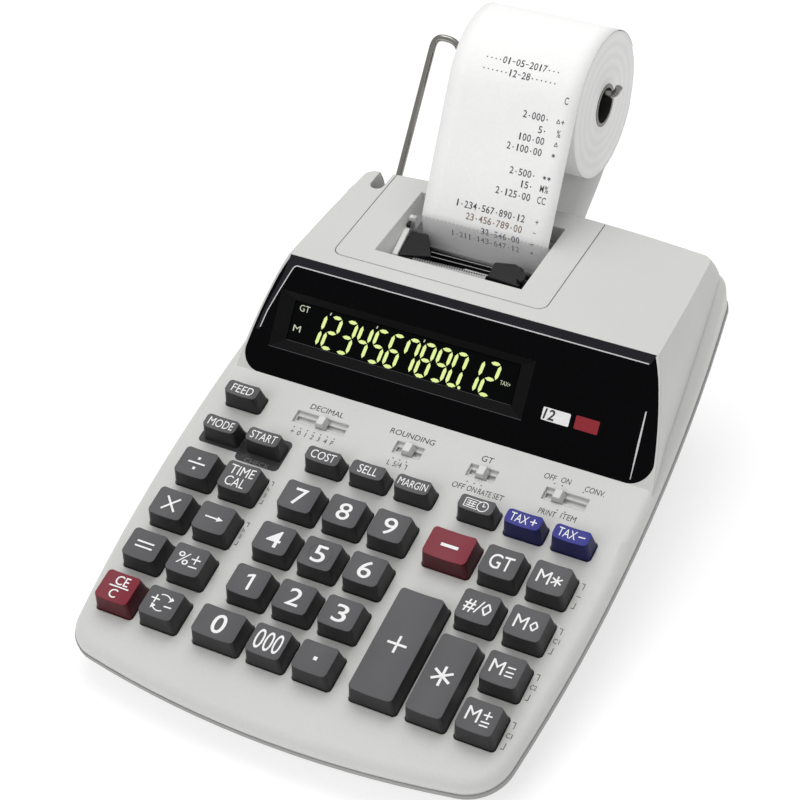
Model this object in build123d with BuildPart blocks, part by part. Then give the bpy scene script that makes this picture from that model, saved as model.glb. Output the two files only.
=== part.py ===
from build123d import *
import math
import os

# Printing desk calculator, millimetres, +Z up, X to the user's right, Y to the back.
# Origin: on the table under the middle of the raised housing.

# ---- driving dimensions -------------------------------------------------
deck_slope = 11.5
deck_height = 35.0
deck_line_y = -28.6
skin = 2.4
rim_depth = 5.0
lip_depth = 2.6
edge_radius = 4.5
case_shift = -2.0
foot_height = 3.0
roof_z = 84.4
panel_foot = (23.8, 45.67)
panel_head = (55.6, 84.4)
panel_thick = 3.0
gap = 0.35

key_rise = 8.4
key_travel = 3.0
key_flare_x = 1.6
key_flare_y = 2.1
key_flange_low = -4.0

col = {"a": -78.4, "b": -58.8, "c": -31.9, "d": -12.2, "e": 7.4, "g": 54.0, "h": 73.6}
row = {0: 38.2, 1: 20.1, 2: -0.2, 3: -20.8, 4: -41.3, 5: -61.8}

cover_x = (-64.5, 29.5)
cover_y = 62.9
cover_low = 82.3
slot_x = (-49.5, 16.0)
slot_y = (71.2, 113.2)

paper_x = (-42.0, 15.0)
paper_thick = 0.3
roll_y = 155.7
roll_z = 117.5
roll_r = 30.5
core_r = 9.0
core_hole_r = 7.45

wire_r = 1.5
arm_x = -68.0
arm_pivot_y = 113.0
arm_pivot_z = 61.1
arm_lean = 40.9

feed_y = 104.4
feed_z = 69.5
feed_r = 5.0
ink_y = 80.5
ink_z = 73.0
ink_r = 6.2

sine = math.sin(math.radians(deck_slope))
cosine = math.cos(math.radians(deck_slope))
deck = Plane(origin=(0, deck_line_y, deck_height), x_dir=(1, 0, 0), z_dir=(0, -sine, cosine))
panel_rise = math.atan2(panel_head[1] - panel_foot[1], panel_head[0] - panel_foot[0])
panel_normal = (0, -math.sin(panel_rise), math.cos(panel_rise))
panel = Plane(origin=(0, panel_foot[0], panel_foot[1]), x_dir=(1, 0, 0), z_dir=panel_normal)


def deck_plane(x, y, height=0.0):
    """Plane parallel to the deck, centred on a deck position, raised by a height."""
    centre = deck.from_local_coords((x, y, height))
    return Plane(origin=centre, x_dir=(1, 0, 0), z_dir=(0, -sine, cosine))


def deck_z(y):
    """Height of the deck surface above the table."""
    return deck_height + (y - deck_line_y) * math.tan(math.radians(deck_slope))


def plan_outline(inset):
    """Closed plan outline on the deck: bowed front, gently curved sides, bowed back."""
    front = -93.4 + inset
    corner_y = -84.1 + inset
    front_x = 89.4 - inset
    wide_x = 96.0 - inset
    back_x = 85.0 - inset
    back_y = 156.5 - inset
    with BuildLine() as wire:
        ThreePointArc((-front_x, corner_y), (0, front), (front_x, corner_y))
        TangentArc((wide_x, 15), (front_x, corner_y), tangent=(0, -1))
        TangentArc((wide_x, 15), (back_x, back_y), tangent=(0, 1))
        ThreePointArc((back_x, back_y), (0, 160.0 - inset), (-back_x, back_y))
        TangentArc((-wide_x, 15), (-back_x, back_y), tangent=(0, 1))
        TangentArc((-wide_x, 15), (-front_x, corner_y), tangent=(0, -1))
    with BuildSketch() as sketch:
        with Locations((case_shift, 0)):
            add(wire.line)
        make_face()
        fillet(sketch.vertices().filter_by(lambda v: v.Y < corner_y + 1 and v.X > 0), radius=18 - inset)
        fillet(sketch.vertices().filter_by(lambda v: v.Y < corner_y + 1 and v.X < -88), radius=14 - inset)
        fillet(sketch.vertices().filter_by(lambda v: v.Y > back_y - 1), radius=9 - inset)
    return sketch.sketch


def base_outline(inset):
    """Footprint of the tub on its floor, drawn in under the sloping deck."""
    side = 84.5 - inset
    middle = 72.0 - inset
    back = 54.0 - inset
    with BuildLine() as wire:
        ThreePointArc((-side, -98 + inset), (0, -109 + inset), (side, -98 + inset))
        ThreePointArc((side, -98 + inset), (79 - inset, -45), (middle, 6))
        Line((middle, 6), (back, 112 - inset))
        ThreePointArc((back, 112 - inset), (0, 115 - inset), (-back, 112 - inset))
        Line((-back, 112 - inset), (-middle, 6))
        ThreePointArc((-middle, 6), (-79 + inset, -45), (-side, -98 + inset))
    with BuildSketch() as sketch:
        with Locations((case_shift, 0)):
            add(wire.line)
        make_face()
        fillet(sketch.vertices().filter_by(lambda v: v.Y < -50), radius=16 - inset)
        fillet(sketch.vertices().filter_by(lambda v: v.Y > 110 - inset), radius=9 - inset)
    return sketch.sketch


# rise of the top surface above the deck plane towards the back: the shoulders beside the housing
shoulder = [(70.0, 1.9), (90.0, 4.1), (105.0, 7.4), (116.0, 10.2), (140.0, 10.6)]


def slab_body(inset, drop):
    """Deck slab that swells up into a shoulder round the back of the housing."""
    low = drop / cosine
    start = (40.0, deck_z(40.0) - low)
    crest = [start] + [(y, deck_z(y) + rise - low) for y, rise in shoulder]
    with BuildPart() as body:
        with BuildSketch(deck.offset(-rim_depth)):
            add(plan_outline(inset))
        extrude(amount=rim_depth + 20)
        with BuildSketch(Plane.YZ.offset(-120)):
            with BuildLine():
                Line((-160, deck_z(-160) - low), start)
                Spline(*crest, tangents=[(1, sine / cosine), (1, 0.1)])
                Polyline(crest[-1], (140, 150), (-160, 150), (-160, deck_z(-160) - low))
            make_face()
        extrude(amount=240, mode=Mode.SUBTRACT)
    return body.part


def housing(inset, top, front_cut):
    """Raised printer housing: widest at the deck, narrower at the roof, cut off in front by the panel plane."""
    with BuildPart() as block:
        levels = [
            (40.0, (93.2, 88.6, 86.5, 83.4), 126.0),
            (62.0, (92.4, 87.2, 83.9, 81.4), 126.0),
            (76.0, (87.6, 84.2, 82.0, 80.6), 125.4),
            (top, (82.4, 80.6, 79.3, 77.4), 122.6),
        ]
        for z, side, rear_y in levels:
            spots = list(zip(side, (10.0, 46.0, 88.0, rear_y - 4.0 - inset)))
            right = [(x - inset, y) for x, y in spots]
            left = [(-x + inset, y) for x, y in spots[::-1]]
            with BuildSketch(Plane.XY.offset(z)) as level:
                with BuildLine():
                    Polyline(*right)
                    ThreePointArc(right[-1], (0, rear_y + 0.6 - inset), left[0])
                    Polyline(*left)
                    Line(left[-1], right[0])
                make_face()
                fillet(level.vertices().filter_by(lambda v: v.Y > 110), radius=4.5 - inset)
        loft()
        with BuildSketch(panel.offset(-front_cut)):
            Rectangle(260, 260)
        extrude(amount=90, mode=Mode.SUBTRACT)
        with BuildSketch(deck.offset(-rim_depth)):
            Rectangle(400, 500)
        extrude(amount=-80, mode=Mode.SUBTRACT)
    return block.part


key_specs = [
    ("key_divide", col["a"], row[2], 14.4, 12.6),
    ("key_multiply", col["a"], row[3], 14.4, 12.6),
    ("key_equals", col["a"], row[4], 14.4, 12.6),
    ("key_clear_entry", col["a"], row[5], 14.4, 12.6),
    ("key_time_calendar", col["b"], row[2], 14.4, 12.6),
    ("key_backspace", col["b"], row[3], 14.4, 12.6),
    ("key_percent", col["b"], row[4], 14.4, 12.6),
    ("key_sign_change", col["b"], row[5], 14.4, 12.6),
    ("key_7", col["c"], row[2], 14.4, 12.6),
    ("key_8", col["d"], row[2], 14.4, 12.6),
    ("key_9", col["e"], row[2], 14.4, 12.6),
    ("key_4", col["c"], row[3], 14.4, 12.6),
    ("key_5", col["d"], row[3], 14.4, 12.6),
    ("key_6", col["e"], row[3], 14.4, 12.6),
    ("key_1", col["c"], row[4], 14.4, 12.6),
    ("key_2", col["d"], row[4], 14.4, 12.6),
    ("key_3", col["e"], row[4], 14.4, 12.6),
    ("key_0", -33.6, row[5], 18.2, 12.6),
    ("key_000", col["d"], row[5], 14.4, 12.6),
    ("key_point", col["e"], row[5], 14.4, 12.6),
    ("key_minus", 32.7, row[2], 18.0, 12.6),
    ("key_plus", 32.9, -45.6, 17.8, 45.4),
    ("key_total", 54.1, -51.6, 14.4, 33.0),
    ("key_grand_total", col["g"], row[2], 14.4, 12.6),
    ("key_subtotal", col["g"], row[3], 14.4, 12.6),
    ("key_memory_total", col["h"], row[2], 14.4, 12.6),
    ("key_memory_subtotal", col["h"], row[3], 14.4, 12.6),
    ("key_memory_equals", col["h"], row[4], 14.4, 12.6),
    ("key_memory_plus_minus", col["h"], row[5], 14.4, 12.6),
    ("key_feed", col["a"], row[0], 14.4, 6.3),
    ("key_mode", col["a"], row[1], 14.4, 6.3),
    ("key_start", col["b"], row[1], 14.4, 6.3),
    ("key_cost", col["c"], row[1], 14.4, 6.3),
    ("key_sell", col["d"], row[1], 14.4, 6.3),
    ("key_margin", col["e"], row[1], 14.4, 6.3),
    ("key_clock", 34.5, row[1], 14.4, 6.3),
    ("key_tax_plus", col["g"], row[1], 14.4, 6.3),
    ("key_tax_minus", col["h"], row[1], 14.4, 6.3),
]

# name, centre of the recess along X, recess length, knob position along X, half length of the shutter
switch_y = 38.9
switch_specs = [
    ("switch_decimal", -44.6, 23.2, -43.9, 15.5),
    ("switch_rounding", -5.2, 12.0, -5.2, 8.7),
    ("switch_rate", 26.9, 12.0, 26.9, 8.7),
    ("switch_power", 61.9, 17.8, 59.0, 14.4),
]


def key_cap(x, y, width, depth):
    """Hollow key cap with a dished top, a retaining flange and a centre post."""
    low_w = width + key_flare_x
    low_d = depth + key_flare_y
    sag = 0.7 if width < 16 else 0.8
    dish_r = ((width / 2) ** 2 + sag ** 2) / (2 * sag)
    dish_centre = deck.from_local_coords((x, y, key_rise - sag + dish_r))
    with BuildPart() as cap:
        with BuildSketch(deck_plane(x, y, 0.4)):
            RectangleRounded(low_w, low_d, 1.5)
        with BuildSketch(deck_plane(x, y, key_rise)):
            RectangleRounded(width, depth, 1.7)
        loft()
        with BuildSketch(deck_plane(x, y, 0.4)):
            RectangleRounded(low_w, low_d, 1.5)
        extrude(amount=-4.4)
        with BuildSketch(deck_plane(x, y, key_flange_low)):
            Rectangle(low_w + 1.6, low_d + 1.6)
        extrude(amount=1.2)
        with BuildSketch(deck_plane(x, y, key_flange_low)):
            Rectangle(width - 2.4, depth - 2.0)
        extrude(amount=key_rise - key_flange_low - 2.4, mode=Mode.SUBTRACT)
        with BuildSketch(deck_plane(x, y, key_flange_low - 0.6)):
            Circle(1.6)
        extrude(amount=key_rise - key_flange_low - 1.6)
        with BuildSketch(Plane(origin=dish_centre, x_dir=(1, 0, 0), z_dir=(0, cosine, sine))):
            Circle(dish_r)
        extrude(amount=depth, both=True, mode=Mode.SUBTRACT)
    return cap.part


def slide_knob(x, y, half_cover):
    """Switch knob: ribbed grip in the recess, stem through the slit, shutter plate below."""
    with BuildPart() as knob:
        with BuildSketch(deck_plane(x, y, -1.0)):
            Rectangle(4.6, 4.6)
        with BuildSketch(deck_plane(x, y, 2.4)):
            Rectangle(3.0, 4.2)
        loft()
        with BuildSketch(deck_plane(x, y, -3.6)):
            Rectangle(1.8, 1.4)
        extrude(amount=2.7)
        with BuildSketch(deck_plane(x, y, -3.6)):
            Rectangle(2 * half_cover, 4.6)
        extrude(amount=0.8)
    return knob.part


def ribbon(points, x_range, thickness):
    """Thin sheet that follows a path in the YZ plane and spans a range of X."""
    count = len(points)
    side_a = []
    side_b = []
    for i in range(count):
        before = points[max(i - 1, 0)]
        after = points[min(i + 1, count - 1)]
        dy = after[0] - before[0]
        dz = after[1] - before[1]
        size = math.hypot(dy, dz)
        ny = -dz / size * thickness / 2
        nz = dy / size * thickness / 2
        side_a.append((points[i][0] + ny, points[i][1] + nz))
        side_b.append((points[i][0] - ny, points[i][1] - nz))
    with BuildPart() as sheet:
        with BuildSketch(Plane.YZ.offset(x_range[0])):
            with BuildLine():
                Polyline(*(side_a + side_b[::-1]), close=True)
            make_face()
        extrude(amount=x_range[1] - x_range[0])
    return sheet.part


# ---- upper case ---------------------------------------------------------
with BuildPart() as panel_block:
    add(housing(0.9, roof_z - 0.9, 0.0))
    with BuildSketch(panel.offset(-panel_thick)):
        Rectangle(400, 400)
    extrude(amount=-200, mode=Mode.SUBTRACT)
    with BuildSketch(deck.offset(0.05)):
        Rectangle(400, 500)
    extrude(amount=-80, mode=Mode.SUBTRACT)
    with BuildSketch(panel):
        with Locations((-88.9, 1.1)):
            Rectangle(15, 14.2)
        with Locations((-81.4, 8.2)):
            Circle(8.2, mode=Mode.SUBTRACT)
        with Locations((87.0, 2.0)):
            Rectangle(15, 16)
        with Locations((79.5, 10.0)):
            Circle(10.0, mode=Mode.SUBTRACT)
    extrude(amount=20, both=True, mode=Mode.SUBTRACT)

with BuildPart() as slab:
    add(slab_body(0.0, 0.0))
    upper_faces = slab.faces().filter_by(lambda f: f.normal_at().Z > 0.5)
    upper_edges = upper_faces.edges().filter_by(lambda e: abs(e.center().Y - 40.0) > 1.0)
    fillet(upper_edges, radius=edge_radius)

with BuildPart() as slot_cheek:
    add(housing(1.0, roof_z - 1.0, 2.3))
    with BuildSketch(Plane.XY.offset(73.0)):
        with Locations((-76.4, 113.0)):
            Rectangle(12.0, 14.0)
    extrude(amount=20.0, mode=Mode.INTERSECT)

with BuildPart() as upper_case:
    add(slab.part)
    add(housing(0.0, roof_z, 0.0))
    add(slab_body(skin, skin), mode=Mode.SUBTRACT)
    add(housing(skin, roof_z - skin, panel_thick + skin), mode=Mode.SUBTRACT)
    # solid cheek between the arm slot and the side wall
    add(slot_cheek.part)
    add(panel_block.part, mode=Mode.SUBTRACT)
    # ledge the printer cover lies over
    with BuildSketch(Plane.XY.offset(cover_low - 0.3)):
        with Locations(((cover_x[0] + cover_x[1]) / 2, 90.5)):
            Rectangle(cover_x[1] - cover_x[0] + 4, 58.0)
    extrude(amount=-2.2)
    # opening under the cover and the recess it sits in
    with BuildSketch(Plane.XY.offset(70)):
        with Locations(((cover_x[0] + cover_x[1]) / 2, 91.5)):
            Rectangle(cover_x[1] - cover_x[0] - 6, 50.0)
    extrude(amount=20, mode=Mode.SUBTRACT)
    with BuildSketch(Plane.XY.offset(cover_low - 0.3)):
        with Locations(((cover_x[0] + cover_x[1]) / 2, cover_y - gap + 40)):
            RectangleRounded(cover_x[1] - cover_x[0] + 2 * gap, 80, 4.3)
    extrude(amount=10, mode=Mode.SUBTRACT)
    # window behind the display panel for the display tube
    with BuildSketch(panel.offset(-panel_thick - 6)):
        with Locations((-23.0, 24.0)):
            Rectangle(103.0, 19.4)
    extrude(amount=8, mode=Mode.SUBTRACT)
    # slot the paper arm swings in, through the roof and down the rear wall
    with BuildSketch(Plane.XY.offset(56.5)):
        with Locations((-69.2, 125.0)):
            Rectangle(6.0, 28.0)
        with Locations((-69.2, 111.0)):
            Circle(3.0)
    extrude(amount=37.0, mode=Mode.SUBTRACT)
    # paper entry in the rear wall
    with BuildSketch(Plane.XZ.offset(-112.0)):
        with Locations((-13.5, 68.0)):
            Rectangle(63.0, 14.0)
    extrude(amount=-22, mode=Mode.SUBTRACT)
    # window for the power jack
    with BuildSketch(Plane.XZ.offset(-112.0)):
        with Locations((48.0, 66.8)):
            Rectangle(14.0, 11.0)
    extrude(amount=-22, mode=Mode.SUBTRACT)
    # bearing block of the paper arm
    with BuildSketch(Plane.YZ.offset(-64.0)):
        with Locations((114.2, 62.6)):
            Rectangle(9.0, 9.0)
        with Locations((120.0, 65.3)):
            Rectangle(13.0, 3.6)
    extrude(amount=6.0)
    with BuildSketch(Plane.YZ.offset(-65.0)):
        with Locations((arm_pivot_y, arm_pivot_z)):
            Circle(wire_r + 0.05)
    extrude(amount=9.0, mode=Mode.SUBTRACT)
    # bosses under the deck that clamp the keyboard
    for x, y in ((-47.1, 9.0), (-47.1, -31.0), (-47.1, -52.0), (19.2, 9.0), (19.2, -31.0), (19.2, -52.0)):
        with BuildSketch(deck_plane(x, y, -9.95)):
            Circle(2.2)
        extrude(amount=9.95 - skin + 0.5)
    # key openings
    for name, x, y, width, depth in key_specs:
        with BuildSketch(deck_plane(x, y, -skin - 1)):
            RectangleRounded(width + key_flare_x + 2 * gap, depth + key_flare_y + 2 * gap, 1.8)
        extrude(amount=skin + 2, mode=Mode.SUBTRACT)
    # switch recesses and slits
    for name, x, length, knob_x, half_cover in switch_specs:
        with BuildSketch(deck_plane(x, switch_y, -1.4)):
            Rectangle(length, 5.8)
        extrude(amount=3, mode=Mode.SUBTRACT)
        with BuildSketch(deck_plane(x, switch_y, -skin - 1)):
            Rectangle(length - 1.2, 2.2)
        extrude(amount=4, mode=Mode.SUBTRACT)

# ---- lower case ---------------------------------------------------------
screw_spots = [(-58.0, -76.0), (58.0, -76.0), (-56.0, 22.0), (56.0, 22.0), (-30.0, 84.0), (30.0, 84.0)]
foot_spots = [(-66.0, -90.0), (66.0, -90.0), (-44.0, 98.0), (44.0, 98.0)]
with BuildPart() as lower_case:
    with BuildSketch(deck.offset(-rim_depth - lip_depth)):
        add(plan_outline(-0.4))
    with BuildSketch(Plane.XY.offset(foot_height)):
        add(base_outline(0.0))
    loft()
    with BuildSketch(deck.offset(-rim_depth)):
        add(plan_outline(-0.4))
    extrude(amount=-lip_depth)
    with BuildSketch(deck.offset(-rim_depth)):
        add(plan_outline(3.2))
    with BuildSketch(Plane.XY.offset(foot_height + 2.4)):
        add(base_outline(2.6))
    loft(mode=Mode.SUBTRACT)
    for x, y in screw_spots:
        with BuildSketch(Plane.XY.offset(foot_height)):
            with Locations((x, y)):
                Circle(4.6)
        extrude(amount=4.8)
        with BuildSketch(Plane.XY.offset(foot_height)):
            with Locations((x, y)):
                Circle(3.1)
        extrude(amount=2.2, mode=Mode.SUBTRACT)
        with BuildSketch(Plane.XY.offset(foot_height)):
            with Locations((x, y)):
                Circle(1.5)
        extrude(amount=6, mode=Mode.SUBTRACT)

with BuildPart() as rubber_feet:
    for x, y in foot_spots:
        with BuildSketch(Plane.XY):
            with Locations((x, y)):
                Circle(6.0)
        extrude(amount=foot_height)

with BuildPart() as case_screws:
    for x, y in screw_spots:
        with BuildSketch(Plane.XY.offset(foot_height + 0.5)):
            with Locations((x, y)):
                Circle(2.9)
        extrude(amount=1.7)
        with BuildSketch(Plane.XY.offset(foot_height + 2.2)):
            with Locations((x, y)):
                Circle(1.4)
        extrude(amount=3.2)

# ---- display ------------------------------------------------------------
with BuildPart() as display_panel:
    add(panel_block.part)
    with BuildSketch(panel.offset(-1.8)):
        with Locations((-23.0, 24.0)):
            Rectangle(101.0, 16.6)
    with BuildSketch(panel.offset(0.2)):
        with Locations((-23.1, 23.5)):
            Rectangle(114.6, 24.4)
    loft(mode=Mode.SUBTRACT)
    with BuildSketch(panel.offset(-panel_thick - 1)):
        with Locations((-23.0, 24.0)):
            Rectangle(101.0, 16.6)
    extrude(amount=3, mode=Mode.SUBTRACT)

with BuildPart() as display_tube:
    with BuildSketch(panel.offset(-9.0)):
        with Locations((-23.0, 24.0)):
            Rectangle(102.0, 18.4)
    extrude(amount=5.9)
    with BuildSketch(panel.offset(-3.1)):
        with Locations((-23.0, 24.0)):
            Rectangle(100.4, 16.0)
    extrude(amount=1.1)

# ---- keyboard electronics ----------------------------------------------
with BuildPart() as keyboard_board:
    with BuildSketch(deck_plane(-2.1, -11.5, -12.6)):
        RectangleRounded(163.0, 111.0, 5)
    extrude(amount=1.6)

with BuildPart() as key_mat:
    with BuildSketch(deck_plane(-2.1, -11.5, -11.0)):
        RectangleRounded(162.0, 110.0, 5)
    extrude(amount=1.0)
    for name, x, y, width, depth in key_specs:
        with BuildSketch(deck_plane(x, y, -10.0)):
            Circle(3.2)
        extrude(amount=2.1, taper=12)

# ---- printer ------------------------------------------------------------
with BuildPart() as printer_frame:
    with BuildSketch(Plane.XY.offset(40.0)):
        with Locations((-14.0, 93.0)):
            Rectangle(72.0, 44.0)
    extrude(amount=20.0)
    for x in (-50.0, 20.0):
        with BuildSketch(Plane.YZ.offset(x)):
            with Locations((93.0, 67.2)):
                Rectangle(44.0, 15.4)
        extrude(amount=2.0)
    for x in (-44.0, 16.0):
        for y in (77.0, 102.0):
            with BuildSketch(Plane.XY.offset(foot_height + skin + 0.05)):
                with Locations((x, y)):
                    Circle(4.0)
            extrude(amount=40.0 - foot_height - skin)
    # guide block beside the paper and the bar along the front of the slot
    with BuildSketch(Plane.XY.offset(60.0)):
        with Locations((-40.0, 83.0)):
            Rectangle(7.0, 15.0)
    extrude(amount=19.0)
    with BuildSketch(Plane.XY.offset(60.0)):
        with Locations((-20.5, 75.6)):
            Rectangle(32.0, 4.4)
    extrude(amount=16.0)
    for y, z, r in ((feed_y, feed_z, 2.0), (ink_y, ink_z, 1.5)):
        with BuildSketch(Plane.YZ.offset(-51.0)):
            with Locations((y, z)):
                Circle(r + 0.05)
        extrude(amount=80.0, mode=Mode.SUBTRACT)

with BuildPart() as feed_roller:
    with BuildSketch(Plane.YZ.offset(-44.0)):
        with Locations((feed_y, feed_z)):
            Circle(feed_r)
    extrude(amount=60.0)
    with BuildSketch(Plane.YZ.offset(-49.6)):
        with Locations((feed_y, feed_z)):
            Circle(2.0)
    extrude(amount=71.2)

with BuildPart() as ink_roller:
    with BuildSketch(Plane.YZ.offset(-0.5)):
        with Locations((ink_y, ink_z)):
            Circle(ink_r)
    extrude(amount=13.0)
    with BuildSketch(Plane.YZ.offset(12.5)):
        with Locations((ink_y, ink_z)):
            Circle(3.2)
    extrude(amount=2.4)
    with BuildSketch(Plane.YZ.offset(-4.0)):
        with Locations((ink_y, ink_z)):
            Circle(1.5)
    extrude(amount=25.6)

with BuildPart() as printer_cover:
    with BuildSketch(Plane.XY.offset(cover_low)):
        with Locations(((cover_x[0] + cover_x[1]) / 2, cover_y + 40)):
            RectangleRounded(cover_x[1] - cover_x[0], 80, 4.0)
    extrude(amount=roof_z - cover_low)
    add(housing(0.0, roof_z, 0.0), mode=Mode.INTERSECT)
    with BuildSketch(Plane.XY.offset(76.0)):
        with Locations(((slot_x[0] + slot_x[1]) / 2, (slot_y[0] + slot_y[1]) / 2)):
            Rectangle(slot_x[1] - slot_x[0] + 3.2, slot_y[1] - slot_y[0] + 3.2)
    extrude(amount=cover_low - 76.0)
    with BuildSketch(Plane.XY.offset(75.9)):
        with Locations(((slot_x[0] + 4.0 + slot_x[1]) / 2, (slot_y[0] + slot_y[1]) / 2)):
            Rectangle(slot_x[1] - slot_x[0] - 4.0, slot_y[1] - slot_y[0])
    with BuildSketch(Plane.XY.offset(roof_z + 0.1)):
        with Locations(((slot_x[0] + slot_x[1]) / 2, (slot_y[0] + slot_y[1]) / 2)):
            Rectangle(slot_x[1] - slot_x[0], slot_y[1] - slot_y[0])
    loft(mode=Mode.SUBTRACT)

# clear tear bar: a sloping plate whose upper edge is cut into teeth
with BuildPart() as tear_bar:
    with BuildSketch(Plane.YZ.offset(-45.2)):
        with BuildLine():
            Polyline((90.6, 76.4), (91.8, 76.4), (98.2, 84.6), (98.2, 85.2), (97.4, 85.2), close=True)
        make_face()
    extrude(amount=61.2)
    tooth_count = 34
    pitch = 61.2 / tooth_count
    with BuildSketch(Plane.XZ.offset(-96.0)):
        for i in range(tooth_count):
            x = -45.2 + pitch * i
            with BuildLine():
                Polyline((x, 85.3), (x + pitch, 85.3), (x + pitch / 2, 84.5), close=True)
            make_face()
    extrude(amount=-4, mode=Mode.SUBTRACT)

# ---- paper --------------------------------------------------------------
# the printed strip leaves the slot, lies against the roll and passes over it;
# the other end of the same web runs from under the roll into the rear entry
wrap_r = roll_r + 0.6
lift_y = 98.95
lift_z = 85.0
to_centre = math.hypot(roll_y - lift_y, roll_z - lift_z)
bearing = math.atan2(roll_z - lift_z, roll_y - lift_y)
touch = bearing + math.asin(wrap_r / to_centre) + math.pi / 2
path = []
for i in range(11):
    a = math.radians(-30.0 - 6.0 * i)
    path.append((roll_y + wrap_r * math.cos(a), roll_z + wrap_r * math.sin(a)))
path = path + [(150.0, 82.6), (140.0, 77.2), (130.0, 71.6), (122.0, 67.6), (114.0, 64.9)]
for i in range(9):
    a = math.radians(-84.0 - 12.0 * i)
    path.append((feed_y + (feed_r + 0.5) * math.cos(a), feed_z + (feed_r + 0.5) * math.sin(a)))
path = path + [(98.9, 74.0), (98.9, 80.0), (lift_y, lift_z)]
steps = 20
for i in range(steps + 1):
    a = touch + (math.radians(20.0) - touch) * i / steps
    path.append((roll_y + wrap_r * math.cos(a), roll_z + wrap_r * math.sin(a)))
paper_tape = ribbon(path, paper_x, paper_thick)

with BuildPart() as paper_roll:
    with BuildSketch(Plane.YZ.offset(paper_x[0])):
        with Locations((roll_y, roll_z)):
            Circle(roll_r)
            Circle(core_r, mode=Mode.SUBTRACT)
    extrude(amount=paper_x[1] - paper_x[0])

with BuildPart() as roll_core:
    with BuildSketch(Plane.YZ.offset(paper_x[0] - 0.2)):
        with Locations((roll_y, roll_z)):
            Circle(core_r)
            Circle(core_hole_r, mode=Mode.SUBTRACT)
    extrude(amount=paper_x[1] - paper_x[0] + 0.4)

# ---- paper arm: one bent steel wire -------------------------------------
lean_y = math.sin(math.radians(arm_lean))
lean_z = math.cos(math.radians(arm_lean))
wire_z = roll_z + core_hole_r - wire_r - 0.15


def leg(distance):
    return (arm_x, arm_pivot_y + distance * lean_y, arm_pivot_z + distance * lean_z)


with BuildPart() as paper_arm:
    with BuildLine() as arm_path:
        foot = Line((-58.5, arm_pivot_y, arm_pivot_z), (arm_x + 3.6, arm_pivot_y, arm_pivot_z))
        Spline((arm_x + 3.6, arm_pivot_y, arm_pivot_z), leg(3.6), tangents=[(-1, 0, 0), (0, lean_y, lean_z)])
        Line(leg(3.6), leg(78.0))
        Spline(leg(78.0), (-63.2, 167.2, 124.2), tangents=[(0, lean_y, lean_z), (1, 0, 0)])
        Spline((-63.2, 167.2, 124.2), (-44.0, roll_y, wire_z), tangents=[(1, 0, 0), (1, 0, 0)])
        Line((-44.0, roll_y, wire_z), (16.6, roll_y, wire_z))
        Spline((16.6, roll_y, wire_z), (21.2, roll_y, wire_z + 4.4), tangents=[(1, 0, 0), (0.3, 0, 1)])
    with BuildSketch(Plane(origin=(-58.5, arm_pivot_y, arm_pivot_z), z_dir=(-1, 0, 0))):
        Circle(wire_r)
    sweep()

# ---- power jack ---------------------------------------------------------
with BuildPart() as power_jack:
    with BuildSketch(Plane.XZ.offset(-108.0)):
        with Locations((48.0, 66.8)):
            Rectangle(13.4, 10.4)
    extrude(amount=-16.0)
    with BuildSketch(Plane.XZ.offset(-124.0)):
        with Locations((48.0, 66.8)):
            Circle(2.8)
    extrude(amount=9.0, mode=Mode.SUBTRACT)

# ---- write --------------------------------------------------------------
os.makedirs("parts", exist_ok=True)
upper_case.part.label = "upper_case"
export_step(upper_case.part, "parts/upper_case.step")
lower_case.part.label = "lower_case"
export_step(lower_case.part, "parts/lower_case.step")
rubber_feet.part.label = "rubber_feet"
export_step(rubber_feet.part, "parts/rubber_feet.step")
case_screws.part.label = "case_screws"
export_step(case_screws.part, "parts/case_screws.step")
display_panel.part.label = "display_panel"
export_step(display_panel.part, "parts/display_panel.step")
display_tube.part.label = "display_tube"
export_step(display_tube.part, "parts/display_tube.step")
keyboard_board.part.label = "keyboard_board"
export_step(keyboard_board.part, "parts/keyboard_board.step")
key_mat.part.label = "key_mat"
export_step(key_mat.part, "parts/key_mat.step")
printer_frame.part.label = "printer_frame"
export_step(printer_frame.part, "parts/printer_frame.step")
feed_roller.part.label = "feed_roller"
export_step(feed_roller.part, "parts/feed_roller.step")
ink_roller.part.label = "ink_roller"
export_step(ink_roller.part, "parts/ink_roller.step")
printer_cover.part.label = "printer_cover"
export_step(printer_cover.part, "parts/printer_cover.step")
tear_bar.part.label = "tear_bar"
export_step(tear_bar.part, "parts/tear_bar.step")
paper_tape.label = "paper_tape"
export_step(paper_tape, "parts/paper_tape.step")
paper_roll.part.label = "paper_roll"
export_step(paper_roll.part, "parts/paper_roll.step")
roll_core.part.label = "roll_core"
export_step(roll_core.part, "parts/roll_core.step")
paper_arm.part.label = "paper_arm"
export_step(paper_arm.part, "parts/paper_arm.step")
power_jack.part.label = "power_jack"
export_step(power_jack.part, "parts/power_jack.step")

for name, x, y, width, depth in key_specs:
    cap = key_cap(x, y, width, depth)
    cap.label = name
    export_step(cap, "parts/" + name + ".step")

for name, x, length, knob_x, half_cover in switch_specs:
    knob = slide_knob(knob_x, switch_y, half_cover)
    knob.label = name
    export_step(knob, "parts/" + name + ".step")
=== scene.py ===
import bpy
import math
from mathutils import Matrix, Vector


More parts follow.
